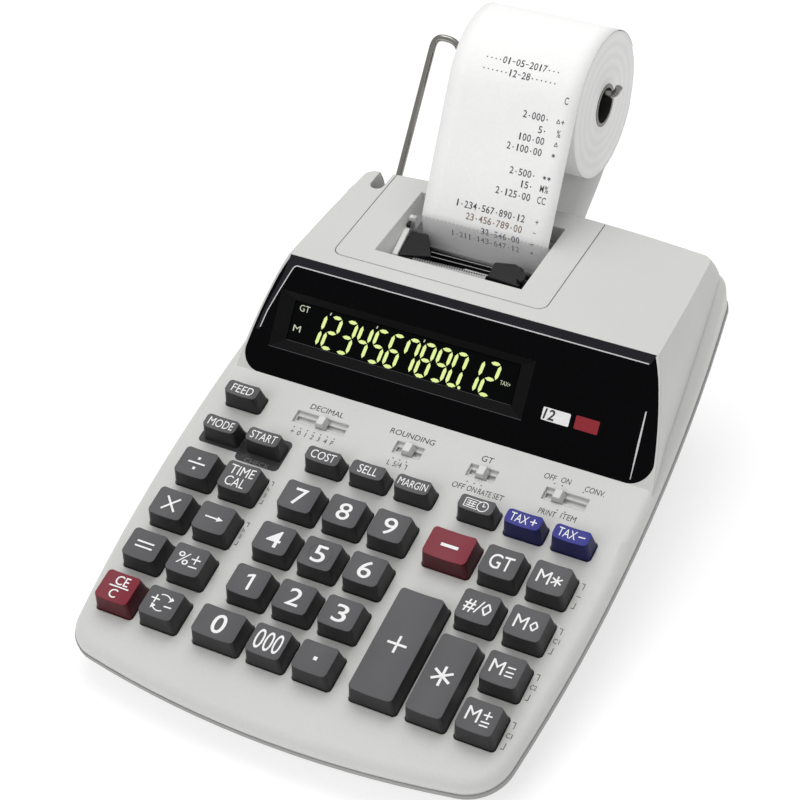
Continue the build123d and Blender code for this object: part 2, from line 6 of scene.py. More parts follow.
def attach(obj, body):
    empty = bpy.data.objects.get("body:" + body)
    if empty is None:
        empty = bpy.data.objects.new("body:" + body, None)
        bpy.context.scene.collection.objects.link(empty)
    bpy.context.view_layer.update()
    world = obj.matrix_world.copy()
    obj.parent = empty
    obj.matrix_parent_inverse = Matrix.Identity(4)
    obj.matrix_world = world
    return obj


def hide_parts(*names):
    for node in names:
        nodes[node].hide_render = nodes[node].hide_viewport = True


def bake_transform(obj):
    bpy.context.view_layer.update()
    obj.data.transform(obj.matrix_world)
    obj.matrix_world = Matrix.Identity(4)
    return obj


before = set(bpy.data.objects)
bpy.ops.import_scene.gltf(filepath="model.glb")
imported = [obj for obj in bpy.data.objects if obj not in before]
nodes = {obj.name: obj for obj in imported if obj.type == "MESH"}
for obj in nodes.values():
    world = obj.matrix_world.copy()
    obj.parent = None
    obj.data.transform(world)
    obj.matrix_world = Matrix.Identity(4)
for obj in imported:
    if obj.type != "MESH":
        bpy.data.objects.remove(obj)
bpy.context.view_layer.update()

scene = bpy.context.scene

# ---- the part's planes and sizes; lengths are in millimetres until a point is placed ----
slope = math.radians(11.5)
deck_origin = (0.0, -28.6, 35.0)
panel_foot = (23.8, 45.67)
panel_head = (55.6, 84.4)
panel_angle = math.atan2(panel_head[1] - panel_foot[1], panel_head[0] - panel_foot[0])
tube_face = -1.93
window_ledge = -1.62
key_rise = 8.4
key_width = 14.4
paper_middle, paper_width = -13.5, 57.0
roll_y, roll_z, wrap = 155.7, 117.5, 31.1


def deck(x, y, h=0.0):
    """Point above the keyboard deck."""
    up = deck_origin[1] + y * math.cos(slope) - h * math.sin(slope)
    z = deck_origin[2] + y * math.sin(slope) + h * math.cos(slope)
    return Vector((x, up, z)) / 1000


def panel(x, s, h=0.0):
    """Point above the display panel, s measured up the panel from its foot."""
    y = panel_foot[0] + s * math.cos(panel_angle) - h * math.sin(panel_angle)
    z = panel_foot[1] + s * math.sin(panel_angle) + h * math.cos(panel_angle)
    return Vector((x, y, z)) / 1000


def deck_at(lift):
    """The deck as a surface to print on, raised a little so that the print shows."""
    return lambda x, y: deck(x, y, lift)


def panel_at(lift):
    """The display panel as a surface for print, lit segments, painted highlights and painted light."""
    return lambda x, s: panel(x, s, lift)


# ---- materials --------------------------------------------------------------
class Nodes:
    """Small helper that adds shader nodes and links them."""

    def __init__(self, name):
        self.material = bpy.data.materials.new(name)
        self.material.use_nodes = True
        self.tree = self.material.node_tree
        self.shader = self.tree.nodes["Principled BSDF"]
        self.position = self.tree.nodes.new("ShaderNodeTexCoord").outputs["Object"]

    def add(self, kind, **values):
        node = self.tree.nodes.new(kind)
        for key, value in values.items():
            setattr(node, key, value)
        return node

    def link(self, a, b):
        self.tree.links.new(a, b)

    def noise(self, scale, detail=3.0, roughness=0.6):
        node = self.add("ShaderNodeTexNoise")
        node.inputs["Scale"].default_value = scale
        node.inputs["Detail"].default_value = detail
        node.inputs["Roughness"].default_value = roughness
        self.link(self.position, node.inputs["Vector"])
        return node.outputs["Fac"]

    def spread(self, value, low, high, from_low=0.3, from_high=0.7):
        node = self.add("ShaderNodeMapRange")
        node.inputs["From Min"].default_value = from_low
        node.inputs["From Max"].default_value = from_high
        node.inputs["To Min"].default_value = low
        node.inputs["To Max"].default_value = high
        self.link(value, node.inputs["Value"])
        return node.outputs["Result"]

    def mix(self, factor, a, b):
        node = self.add("ShaderNodeMix", data_type="RGBA")
        for socket, colour in ((6, a), (7, b)):
            if isinstance(colour, tuple):
                node.inputs[socket].default_value = (*colour, 1.0)
            else:
                self.link(colour, node.inputs[socket])
        if isinstance(factor, float):
            node.inputs[0].default_value = factor
        else:
            self.link(factor, node.inputs[0])
        return node.outputs[2]

    def math(self, operation, a, b=0.0):
        node = self.add("ShaderNodeMath", operation=operation)
        for i, value in enumerate((a, b)):
            if isinstance(value, (int, float)):
                node.inputs[i].default_value = value
            else:
                self.link(value, node.inputs[i])
        return node.outputs[0]

    def bump(self, height, distance, strength=1.0, normal=None):
        node = self.add("ShaderNodeBump")
        node.inputs["Distance"].default_value = distance
        node.inputs["Strength"].default_value = strength
        self.link(height, node.inputs["Height"])
        if normal is not None:
            self.link(normal, node.inputs["Normal"])
        return node.outputs["Normal"]

    def bevel(self, radius):
        node = self.add("ShaderNodeBevel", samples=4)
        node.inputs["Radius"].default_value = radius
        return node.outputs["Normal"]

    def edges(self, radius):
        """1 on edges that hands have polished, 0 on flat faces."""
        round_normal = self.bevel(radius)
        flat = self.add("ShaderNodeNewGeometry").outputs["Normal"]
        dot = self.add("ShaderNodeVectorMath", operation="DOT_PRODUCT")
        self.link(round_normal, dot.inputs[0])
        self.link(flat, dot.inputs[1])
        return self.spread(dot.outputs["Value"], 1.0, 0.0, 0.86, 0.995)


def moulded(name, colour, rough, grain, depth, edge=0.0005, wear=0.1, mottle=0.05, painted_side_shade=None, shine=0.5):
    """Moulded plastic: fine spark grain, faint mottle, rounded and slightly polished edges.

    The side factor, where given, is painted shade: it sets how bright the sides are painted against the top.
    """
    n = Nodes(name)
    n.shader.inputs["Specular IOR Level"].default_value = shine
    dark = tuple(c * (1 - mottle) for c in colour)
    light = tuple(min(1.0, c * (1 + mottle)) for c in colour)
    base = n.mix(n.spread(n.noise(22.0), 0.0, 1.0), dark, light)
    speckle = n.spread(n.noise(grain * 1.6, 1.0), 0.0, 1.0)
    base = n.mix(n.math("MULTIPLY", speckle, 0.22), base, tuple(c * 0.86 for c in colour))
    worn = n.edges(edge)
    base = n.mix(n.math("MULTIPLY", worn, wear), base, tuple(min(1.0, c * 1.45 + 0.01) for c in colour))
    # Painted shade: faces that turn away from up are painted darker than the top.
    if painted_side_shade is not None:
        facing = n.add("ShaderNodeSeparateXYZ")
        n.link(n.bevel(edge), facing.inputs[0])
        base = n.mix(n.spread(facing.outputs["Z"], 1.0, 0.0, 0.35, 0.92), base, tuple(c * painted_side_shade for c in colour))
    n.link(base, n.shader.inputs["Base Color"])
    smooth = n.spread(n.noise(60.0), rough - 0.05, rough + 0.06)
    n.link(n.math("SUBTRACT", smooth, n.math("MULTIPLY", worn, 0.08)), n.shader.inputs["Roughness"])
    n.link(n.bump(n.noise(grain, 2.0), depth, 0.6, n.bevel(edge)), n.shader.inputs["Normal"])
    return n.material


def gloss(name, colour, rough=0.06, edge=0.0004, shine=0.05):
    """Polished plastic with faint swirl marks and dust."""
    n = Nodes(name)
    n.shader.inputs["Specular IOR Level"].default_value = shine
    dust = n.spread(n.noise(1800.0, 1.0), 0.0, 1.0, 0.66, 0.78)
    base = n.mix(n.math("MULTIPLY", dust, 0.02), colour, (0.25, 0.25, 0.25))
    n.link(base, n.shader.inputs["Base Color"])
    n.link(n.spread(n.noise(35.0, 4.0), rough, rough + 0.06), n.shader.inputs["Roughness"])
    n.link(n.bump(n.noise(9.0, 1.0), 0.0002, 0.08, n.bevel(edge)), n.shader.inputs["Normal"])
    return n.material


def steel(name, colour, rough):
    """Drawn wire or strip: bright, with fine scratches along it."""
    n = Nodes(name)
    n.shader.inputs["Metallic"].default_value = 1.0
    streak = n.spread(n.noise(420.0, 5.0, 0.75), 0.0, 1.0)
    n.link(n.mix(streak, tuple(c * 0.92 for c in colour), colour), n.shader.inputs["Base Color"])
    n.link(n.spread(n.noise(240.0, 4.0), rough - 0.04, rough + 0.06), n.shader.inputs["Roughness"])
    n.link(n.bump(streak, 0.00001, 0.25), n.shader.inputs["Normal"])
    return n.material


def ink_and_painted_light(name, colour, strength=0.9, shine=0.3):
    """Flat colour, slightly uneven: printed ink, and also the painted highlights and painted light on the display
    panel.
    """
    n = Nodes(name)
    n.shader.inputs["Specular IOR Level"].default_value = shine
    uneven = n.spread(n.noise(900.0, 2.0), 0.0, 1.0)
    n.link(n.mix(uneven, tuple(c * strength for c in colour), colour), n.shader.inputs["Base Color"])
    n.link(n.spread(n.noise(300.0), 0.45, 0.6), n.shader.inputs["Roughness"])
    return n.material


def paper_material(name, rings):
    """Bond paper: fibres, and on the roll's ends the edges of its layers."""
    n = Nodes(name)
    fibre = n.noise(700.0, 6.0, 0.8)
    cloud = n.spread(n.noise(28.0, 3.0), 0.0, 1.0)
    base = n.mix(cloud, (0.90, 0.90, 0.895), (0.95, 0.95, 0.945))
    base = n.mix(n.spread(fibre, 0.0, 0.35), base, (0.78, 0.78, 0.765))
    height = fibre
    if rings:
        split = n.add("ShaderNodeSeparateXYZ")
        n.link(n.position, split.inputs[0])
        dy = n.math("SUBTRACT", split.outputs["Y"], roll_y / 1000)
        dz = n.math("SUBTRACT", split.outputs["Z"], roll_z / 1000)
        reach = n.math("SQRT", n.math("ADD", n.math("MULTIPLY", dy, dy), n.math("MULTIPLY", dz, dz)))
        layer = n.math("SINE", n.math("MULTIPLY", reach, 9000.0))
        band = n.math("SINE", n.math("MULTIPLY", reach, 1300.0))
        flat = n.add("ShaderNodeNewGeometry").outputs["Normal"]
        side = n.add("ShaderNodeSeparateXYZ")
        n.link(flat, side.inputs[0])
        end = n.math("GREATER_THAN", n.math("ABSOLUTE", side.outputs["X"]), 0.7)
        shade = n.math("MULTIPLY", end, n.spread(n.math("ADD", layer, band), 0.12, 0.45, -2.0, 2.0))
        base = n.mix(shade, base, (0.60, 0.60, 0.60))
        height = n.math("ADD", fibre, n.math("MULTIPLY", end, n.math("MULTIPLY", layer, 0.6)))
    n.link(base, n.shader.inputs["Base Color"])
    n.shader.inputs["Roughness"].default_value = 0.78
    n.link(n.bump(height, 0.00004, 0.5), n.shader.inputs["Normal"])
    return n.material


def clear_plastic(name):
    """Thin clear plastic, mostly seen through."""
    n = Nodes(name)
    n.shader.inputs["Alpha"].default_value = 0.17
    n.link(n.mix(n.spread(n.noise(60.0), 0.0, 1.0), (0.40, 0.40, 0.41), (0.44, 0.44, 0.45)),
           n.shader.inputs["Base Color"])
    n.link(n.spread(n.noise(90.0), 0.12, 0.24), n.shader.inputs["Roughness"])
    return n.material


def glow(name, colour, strength):
    """Lit segment of the display tube."""
    n = Nodes(name)
    flicker = n.spread(n.noise(260.0), 0.92, 1.0)
    n.shader.inputs["Base Color"].default_value = (*[c * 0.25 for c in colour], 1.0)
    n.shader.inputs["Emission Color"].default_value = (*colour, 1.0)
    n.link(n.math("MULTIPLY", flicker, strength), n.shader.inputs["Emission Strength"])
    n.link(n.spread(n.noise(90.0), 0.3, 0.4), n.shader.inputs["Roughness"])
    return n.material


def card_tube(name):
    """Card tube: grey layered ends, and a bore painted near-black as painted shade."""
    n = Nodes(name)
    facing = n.add("ShaderNodeSeparateXYZ")
    n.link(n.add("ShaderNodeNewGeometry").outputs["Normal"], facing.inputs[0])
    end = n.math("GREATER_THAN", n.math("ABSOLUTE", facing.outputs["X"]), 0.7)
    fibre = n.spread(n.noise(600.0, 5.0), 0.0, 1.0)
    # Painted shade: every face but the ends, that is the bore, is near-black.
    bore_painted_shade = n.mix(fibre, (0.012, 0.011, 0.010), (0.022, 0.020, 0.018))
    n.link(n.mix(end, bore_painted_shade, n.mix(fibre, (0.24, 0.23, 0.22), (0.32, 0.31, 0.30))), n.shader.inputs["Base Color"])
    n.shader.inputs["Roughness"].default_value = 0.85
    n.link(n.bump(fibre, 0.00005, 0.5), n.shader.inputs["Normal"])
    return n.material


def board_material(name):
    """Circuit board: green lacquer over paler tracks."""
    n = Nodes(name)
    lines = n.spread(n.noise(240.0, 1.0), 0.0, 1.0, 0.48, 0.52)
    n.link(n.mix(lines, (0.02, 0.11, 0.04), (0.05, 0.20, 0.07)), n.shader.inputs["Base Color"])
    n.link(n.spread(lines, 0.3, 0.45, 0.0, 1.0), n.shader.inputs["Roughness"])
    return n.material


key_finish = {"rough": 0.42, "grain": 1500.0, "depth": 0.00005, "wear": 0.2, "mottle": 0.06}
case_mat = moulded("case_grey", (0.60, 0.60, 0.585), 0.5, 800.0, 0.00005, edge=0.0006, wear=0.06, mottle=0.02)
base_mat = moulded("tub_grey", (0.30, 0.30, 0.295), 0.55, 700.0, 0.00006, edge=0.0006)
# The keys' sides are painted darker than their tops: painted shade.
key_mat = moulded("key_charcoal", (0.088, 0.086, 0.091), painted_side_shade=0.25, shine=0.26, **key_finish)
red_mat = moulded("key_red", (0.200, 0.020, 0.034), painted_side_shade=0.35, shine=0.24, **key_finish)
blue_mat = moulded("key_blue", (0.026, 0.028, 0.235), painted_side_shade=0.3, shine=0.24, **key_finish)
knob_mat = moulded("knob_grey", (0.64, 0.64, 0.625), 0.42, 900.0, 0.00003, mottle=0.03)
panel_mat = gloss("panel_black", (0.0015, 0.0015, 0.002))
# The bezel faces are painted lighter than the panel: painted light.
bezel_painted_light_mat = gloss("panel_bezel_painted_light", (0.0060, 0.0060, 0.0066), 0.3)
tube_mat = gloss("display_filter", (0.0012, 0.0014, 0.0014), 0.12)
black_mat = moulded("mechanism_black", (0.009, 0.009, 0.010), 0.38, 700.0, 0.00005, wear=0.3, mottle=0.1, shine=0.2)
rubber_mat = moulded("rubber_black", (0.02, 0.02, 0.02), 0.75, 500.0, 0.0001, mottle=0.1)
mat_mat = moulded("mat_rubber", (0.30, 0.30, 0.28), 0.65, 400.0, 0.0001)
card_mat = card_tube("core_card")
steel_mat = steel("wire_steel", (0.34, 0.33, 0.31), 0.14)
strip_mat = steel("strip_steel", (0.40, 0.40, 0.40), 0.3)
paper_mat = paper_material("bond_paper", False)
roll_mat = paper_material("roll_paper", True)
clear_mat = clear_plastic("clear_cutter")
board_mat = board_material("board_green")
white_ink = ink_and_painted_light("legend_white", (0.86, 0.86, 0.86))
grey_ink = ink_and_painted_light("legend_grey", (0.045, 0.045, 0.048))
soft_ink = ink_and_painted_light("legend_soft", (0.06, 0.06, 0.06))
check_ink = ink_and_painted_light("legend_check", (0.19, 0.19, 0.19))
label_ink = ink_and_painted_light("label_charcoal", (0.045, 0.045, 0.048))
# The rim band is a matte border, painted lighter than the panel as painted light for its shallower slope.
rim_matte_and_painted_light_ink = ink_and_painted_light("panel_rim_matte_painted_light", (0.014, 0.014, 0.018), 0.9, 0.15)
# Dark grey for the painted highlights along the edges of the display window.
bezel_highlight_ink = ink_and_painted_light("bezel_edge_highlight", (0.075, 0.075, 0.08))
# Light grey for the painted highlights on the black panel.
panel_highlight_ink = ink_and_painted_light("panel_edge_highlight", (0.62, 0.62, 0.62))
red_ink = ink_and_painted_light("badge_red", (0.28, 0.02, 0.03))
print_ink = ink_and_painted_light("print_black", (0.07, 0.07, 0.08), 0.6)
print_blue = ink_and_painted_light("print_blue", (0.10, 0.11, 0.17), 0.6)
print_red = ink_and_painted_light("print_red", (0.30, 0.20, 0.15), 0.6)
digit_glow = glow("segment_green", (0.64, 0.76, 0.28), 1.0)
small_glow = glow("marker_green", (0.55, 0.60, 0.45), 0.8)


looks = {
    "upper_case": case_mat, "printer_cover": case_mat, "lower_case": base_mat,
    "display_panel": panel_mat, "display_tube": tube_mat,
    "printer_frame": black_mat, "ink_roller": black_mat, "power_jack": black_mat,
    "feed_roller": rubber_mat, "rubber_feet": rubber_mat, "case_screws": strip_mat,
    "keyboard_board": board_mat, "key_mat": mat_mat, "tear_bar": clear_mat,
    "paper_roll": roll_mat, "roll_core": card_mat, "paper_arm": steel_mat,
    "key_clear_entry": red_mat, "key_minus": red_mat,
    "key_tax_plus": blue_mat, "key_tax_minus": blue_mat,
}


def look_of(node):
    """Material of a node; the plain keys and the switches share one each."""
    if node in looks:
        return looks[node]
    if node.startswith("key_"):
        return key_mat
    if node.startswith("switch_"):
        return knob_mat
    return None


for node_name in nodes:
    if look_of(node_name) is not None:
        mesh = nodes[node_name].data
        mesh.materials.clear()
        mesh.materials.append(look_of(node_name))


# ---- flat shapes laid on surfaces: print, painted highlights and painted light ---
def bar(x0, y0, x1, y1, width):
    """Straight stroke between two points."""
    size = math.hypot(x1 - x0, y1 - y0)
    nx = -(y1 - y0) / size * width / 2
    ny = (x1 - x0) / size * width / 2
    return [(x0 + nx, y0 + ny), (x1 + nx, y1 + ny), (x1 - nx, y1 - ny), (x0 - nx, y0 - ny)], [(3, 2, 1, 0)]


def polygon(*points):
    """One flat face."""
    return list(points), [tuple(range(len(points)))]


def arc(x, y, radius, width, start=0.0, end=360.0, steps=28):
    """Ring or part of a ring."""
    points = []
    faces = []
    for i in range(steps + 1):
        a = math.radians(start + (end - start) * i / steps)
        points.append((x + (radius + width / 2) * math.cos(a), y + (radius + width / 2) * math.sin(a)))
        points.append((x + (radius - width / 2) * math.cos(a), y + (radius - width / 2) * math.sin(a)))
    for i in range(steps):
        faces.append((2 * i, 2 * i + 2, 2 * i + 3, 2 * i + 1))
    return points, faces


def disc(x, y, radius, steps=20):
    turn = [2 * math.pi * i / steps for i in range(steps)]
    return polygon(*[(x + radius * math.cos(a), y + radius * math.sin(a)) for a in turn])


def rounded(x0, y0, x1, y1, radius, steps=6):
    """Rectangle with rounded corners."""
    points = []
    for cx, cy, start in ((x1 - radius, y1 - radius, 0), (x0 + radius, y1 - radius, 90),
                          (x0 + radius, y0 + radius, 180), (x1 - radius, y0 + radius, 270)):
        for i in range(steps + 1):
            a = math.radians(start + 90 * i / steps)
            points.append((cx + radius * math.cos(a), cy + radius * math.sin(a)))
    return polygon(*points)


def glyphs(words, bold=0.0):
    """Outline of a text at size 1, as points and faces."""
    curve = bpy.data.curves.new("glyphs", "FONT")
    curve.body = words
    curve.offset = bold
    curve.resolution_u = 4
    holder = bpy.data.objects.new("glyphs", curve)
    scene.collection.objects.link(holder)
    bpy.context.view_layer.update()
    mesh = bpy.data.meshes.new_from_object(holder.evaluated_get(bpy.context.evaluated_depsgraph_get()))
    points = [(v.co.x, v.co.y) for v in mesh.vertices]
    faces = [tuple(p.vertices) for p in mesh.polygons]
    bpy.data.objects.remove(holder)
    bpy.data.curves.remove(curve)
    bpy.data.meshes.remove(mesh)
    return points, faces


cap_height = max(p[1] for p in glyphs("H")[0])


def text(words, x, y, height, bold=0.0, width=None, turn=0.0, slant=0.0):
    """Text centred on a point with a capital height and, if given, a total width."""
    points, faces = glyphs(words, bold)
    low = min(p[0] for p in points)
    high = max(p[0] for p in points)
    scale = height / cap_height
    across = scale if width is None else width / (high - low)
    c, s = math.cos(math.radians(turn)), math.sin(math.radians(turn))
    placed = []
    for px, py in points:
        v = (py - cap_height / 2) * scale
        u = (px - (low + high) / 2) * across + v * slant
        placed.append((x + u * c - v * s, y + u * s + v * c))
    return placed, faces


def lay_print_and_painted_light_on(name, shapes, surface, body, material):
    """One mesh made of flat shapes laid on a surface, moving with a body."""
    verts = []
    faces = []
    for points, polys in shapes:
        start = len(verts)
        verts += [surface(x, y) for x, y in points]
        faces += [tuple(start + i for i in poly) for poly in polys]
    mesh = bpy.data.meshes.new(name)
    mesh.from_pydata([tuple(v) for v in verts], [], faces)
    mesh.update()
    mesh.materials.append(material)
    obj = bpy.data.objects.new(name, mesh)
    scene.collection.objects.link(obj)
    if body:
        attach(obj, body)
    return obj


# ---- key legends ---------------------------------------------------------------
col = {"a": -78.4, "b": -58.8, "c": -31.9, "d": -12.2, "e": 7.4, "g": 54.0, "h": 73.6}
row = {0: 38.2, 1: 20.1, 2: -0.2, 3: -20.8, 4: -41.3, 5: -61.8}


def digit(words, width=5.5):
    """Large figure in the middle of a key."""
    return [text(words, 0, 0, 7.3, 0.006, width)]


def one():
    """Figure one: an upright with a flag."""
    return [bar(0.7, -3.6, 0.7, 3.6, 1.15), polygon((0.2, 3.6), (-1.7, 2.7), (-1.7, 1.6), (0.2, 2.5))]


def asterisk(x, y, radius, width):
    """Six-pointed star of three strokes."""
    turns = [math.radians(90 + 60 * i) for i in range(3)]
    return [bar(x - radius * math.cos(a), y - radius * math.sin(a),
                x + radius * math.cos(a), y + radius * math.sin(a), width) for a in turns]


def diamond(x, y, w, h, stroke):
    """Open diamond with half width w and half height h."""
    corners = [(x, y + h), (x + w, y), (x, y - h), (x - w, y)]
    return [bar(*corners[i], *corners[(i + 1) % 4], stroke) for i in range(4)]


def memory(x, y, sign):
    """Memory key: a thin M followed by a sign."""
    return [text("M", x, y, 5.6, 0.0, 4.9)] + sign


def word(letters, height=3.7, width=None):
    """Function word in the middle of a small key."""
    return [text(letters, 0, 0.1, height, 0.0, width)]


def clock_icon():
    """Calendar sheet and clock face."""
    marks = [bar(-4.9, -1.9, -4.9, 1.9, 0.35), bar(-4.9, 1.9, 1.2, 1.9, 0.35), bar(-4.9, -1.9, 0.6, -1.9, 0.35)]
    for i in range(3):
        marks.append(bar(-4.2, 1.0 - i, -0.4, 1.0 - i, 0.4))
    marks += [bar(-3.0, 1.3, -3.0, -1.3, 0.3), bar(-1.7, 1.3, -1.7, -1.3, 0.3)]
    marks += [arc(2.4, 0.0, 2.2, 0.4), bar(2.4, 0, 2.4, 1.6, 0.4), bar(2.4, 0, 3.5, 0.3, 0.4)]
    return marks


legends = {
    "key_7": (col["c"], row[2], digit("7")), "key_8": (col["d"], row[2], digit("8")),
    "key_9": (col["e"], row[2], digit("9")), "key_4": (col["c"], row[3], digit("4", 6.1)),
    "key_5": (col["d"], row[3], digit("5")), "key_6": (col["e"], row[3], digit("6")),
    "key_1": (col["c"], row[4], one()), "key_2": (col["d"], row[4], digit("2")),
    "key_3": (col["e"], row[4], digit("3")),
    "key_0": (-33.6, row[5], [text("0", 0, 0, 7.8, 0.009, 5.6)]),
    "key_000": (col["d"], row[5], [text("0", x, 0, 8.2, 0.0, 3.4) for x in (-3.8, 0, 3.8)]),
    "key_point": (col["e"], row[5], [bar(-0.75, 0, 0.75, 0, 1.5)]),
    "key_divide": (col["a"], row[2], [bar(-3.8, 0, 3.8, 0, 0.75), bar(-0.6, 2.4, 0.6, 2.4, 1.2),
                                      bar(-0.6, -2.4, 0.6, -2.4, 1.2)]),
    "key_multiply": (col["a"], row[3], [bar(-2.9, -3.1, 2.9, 3.1, 0.85), bar(-2.9, 3.1, 2.9, -3.1, 0.85)]),
    "key_equals": (col["a"], row[4], [bar(-3.8, 1.1, 3.8, 1.1, 0.75), bar(-3.8, -1.1, 3.8, -1.1, 0.75)]),
    "key_clear_entry": (col["a"], row[5], [text("CE", 0.4, 3.1, 3.9, 0.01, 5.9), bar(-3.9, 0.2, 4.6, 0.2, 0.6),
                                           text("C", -0.6, -2.8, 3.7, 0.01, 3.3)]),
    "key_time_calendar": (col["b"], row[2], [text("TIME", 0.1, 2.7, 4.3, 0.0, 10.9),
                                             text("CAL", -0.5, -2.6, 4.3, 0.0, 8.6)]),
    "key_backspace": (col["b"], row[3], [bar(-3.9, 0, 1.6, 0, 0.65), polygon((1.3, 1.15), (1.3, -1.15), (4.1, 0))]),
    "key_percent": (col["b"], row[4], [text("%", -2.2, 0.3, 5.2, 0.0, 5.2), bar(1.1, 1.0, 5.1, 1.0, 0.6),
                                       bar(3.1, 3.0, 3.1, -1.0, 0.6), bar(1.2, -2.4, 5.1, -2.4, 0.6)]),
    "key_sign_change": (col["b"], row[5], [bar(-5.0, 1.1, -1.4, 1.1, 0.6), bar(-3.2, 2.9, -3.2, -0.7, 0.6),
                                           bar(1.4, -0.9, 4.8, -0.9, 0.6), arc(-0.2, 0.2, 3.6, 0.5, 35, 118),
                                           polygon((2.2, 1.0), (4.3, 2.4), (2.9, 3.6)),
                                           arc(-0.2, 0.2, 3.6, 0.5, 212, 300),
                                           polygon((-3.4, -3.3), (-3.7, -0.9), (-1.7, -1.6))]),
    "key_minus": (32.7, row[2], [bar(-3.6, -0.2, 3.6, -0.2, 1.35)]),
    "key_plus": (32.9, -45.6, [bar(-3.9, 0, 3.9, 0, 1.0), bar(0, -3.7, 0, 3.7, 1.0)]),
    "key_total": (54.1, -51.6, asterisk(0, 0, 4.2, 1.05)),
    "key_grand_total": (col["g"], row[2], [text("GT", 0, 0, 6.2, 0.004, 9.2)]),
    "key_subtotal": (col["g"], row[3], [text("#", -3.2, 0.2, 5.2, 0.012, 4.2), bar(-0.8, -2.6, 1.5, 3.0, 0.6)]
                     + diamond(3.5, 0, 1.7, 2.5, 0.7)),
    "key_memory_total": (col["h"], row[2], memory(-2.3, 0, asterisk(2.9, -0.3, 2.3, 0.65))),
    "key_memory_subtotal": (col["h"], row[3], memory(-2.3, 0, diamond(2.9, -0.2, 1.5, 2.0, 0.65))),
    "key_memory_equals": (col["h"], row[4], memory(-2.5, 0.4, [
        bar(1.1, y, 4.3, y, 0.6) for y in (1.6, -0.4, -2.0)])),
    "key_memory_plus_minus": (col["h"], row[5], memory(-2.5, 0.4, [
        bar(1.1, 1.5, 4.5, 1.5, 0.6), bar(2.8, 3.2, 2.8, -0.2, 0.6),
        bar(1.1, -1.3, 4.5, -1.3, 0.6), bar(1.1, -2.8, 4.5, -2.8, 0.6)])),
    "key_feed": (col["a"], row[0], word("FEED", width=9.6)),
    "key_mode": (col["a"], row[1], word("MODE", width=11.2)),
    "key_start": (col["b"], row[1], word("START", width=11.4)),
    "key_cost": (col["c"], row[1], word("COST", width=10.6)),
    "key_sell": (col["d"], row[1], word("SELL", width=8.2)),
    "key_margin": (col["e"], row[1], word("MARGIN", 3.3, 12.2)),
    "key_clock": (34.5, row[1], clock_icon()),
    "key_tax_plus": (col["g"], row[1], [text("TAX", -1.9, 0.1, 3.7, 0.0, 7.2), bar(2.6, 0.1, 5.4, 0.1, 0.5),
                                        bar(4.0, 1.5, 4.0, -1.3, 0.5)]),
    "key_tax_minus": (col["h"], row[1], [text("TAX", -1.9, 0.1, 3.7, 0.0, 7.2), bar(2.6, 0.1, 5.4, 0.1, 0.5)]),
}
wide = {"key_0": 18.2, "key_minus": 18.0, "key_plus": 17.8}


def key_surface(name, x0, y0, lift=0.09):
    """Dished top of a key: a shallow trough that runs front to back."""
    width = wide.get(name, key_width)
    sag = 0.8 if name in wide else 0.7
    radius = ((width / 2) ** 2 + sag ** 2) / (2 * sag)

    def at(x, y):
        rise = radius - math.sqrt(radius ** 2 - x ** 2)
        return deck(x0 + x, y0 + y, key_rise - sag + rise + lift)

    return at


for name, (x0, y0, shapes) in legends.items():
    lay_print_and_painted_light_on("legend_" + name[4:], shapes, key_surface(name, x0, y0), name, white_ink)
lay_print_and_painted_light_on("finger_ring", [arc(0, 0, 4.6, 0.45, steps=40)], key_surface("key_5", col["d"], row[3], 0.14), "key_5",
         key_mat)

# ---- marks printed on the deck ---------------------------------------------------
small_cap = 2.5
fine = 0.3
deck_words = [("DECIMAL", -44.7, 45.2, 14.9), ("ROUNDING", -6.4, 45.5, 19.4), ("OFF", 20.6, 30.6, 5.2),
              ("ON", 26.2, 30.7, 3.9), ("RATE", 31.7, 30.7, 5.5), ("SET", 37.4, 30.8, 4.4), ("OFF", 52.4, 46.4, 4.9),
              ("ON", 58.9, 46.7, 3.9), ("CONV.", 71.2, 45.9, 8.2), ("PRINT", 57.9, 30.8, 6.9),
              ("ITEM", 66.4, 31.4, 6.2)]
marks = [text(letters, x, y, small_cap, 0.0, width) for letters, x, y, width in deck_words]
marks += [text("GT", 26.2, 45.5, 2.7, 0.0, 4.8), text("5/4", -6.3, 31.2, 2.4, 0.0, 3.6)]
marks += [bar(-10.4, 30.0, -10.4, 32.3, fine), bar(-10.4, 30.1, -9.5, 30.1, fine),
          bar(-2.4, 30.0, -2.4, 32.3, fine), bar(-2.4, 32.2, -3.3, 32.2, fine)]
for i, letter in enumerate(("+", "0", "1", "2", "3", "4", "F")):
    marks.append(text(letter, -53.7 + 3.0 * i, 31.5, 2.2))
    marks.append(disc(-53.9 + 3.03 * i, 33.7, 0.28))
for x, y in ((-9.3, 33.5), (-6.3, 33.5), (-3.4, 33.5), (23.0, 33.4), (26.0, 33.4), (29.0, 33.4),
             (55.2, 44.1), (58.4, 44.1), (67.1, 44.0), (61.1, 33.2), (64.2, 33.3)):
    marks.append(disc(x, y, 0.28))
lay_print_and_painted_light_on("deck_marks", marks, deck_at(0.05), "case", grey_ink)


def bracket(x0, x1, y, reach, tip):
    """Open bracket round a short note beside a key."""
    strokes = []
    for side in (1, -1):
        strokes += [bar(x0, y + side * reach, x1, y + side * reach, fine),
                    bar(x1, y + side * (reach + 0.1), x1, y + side * tip, fine)]
    return strokes


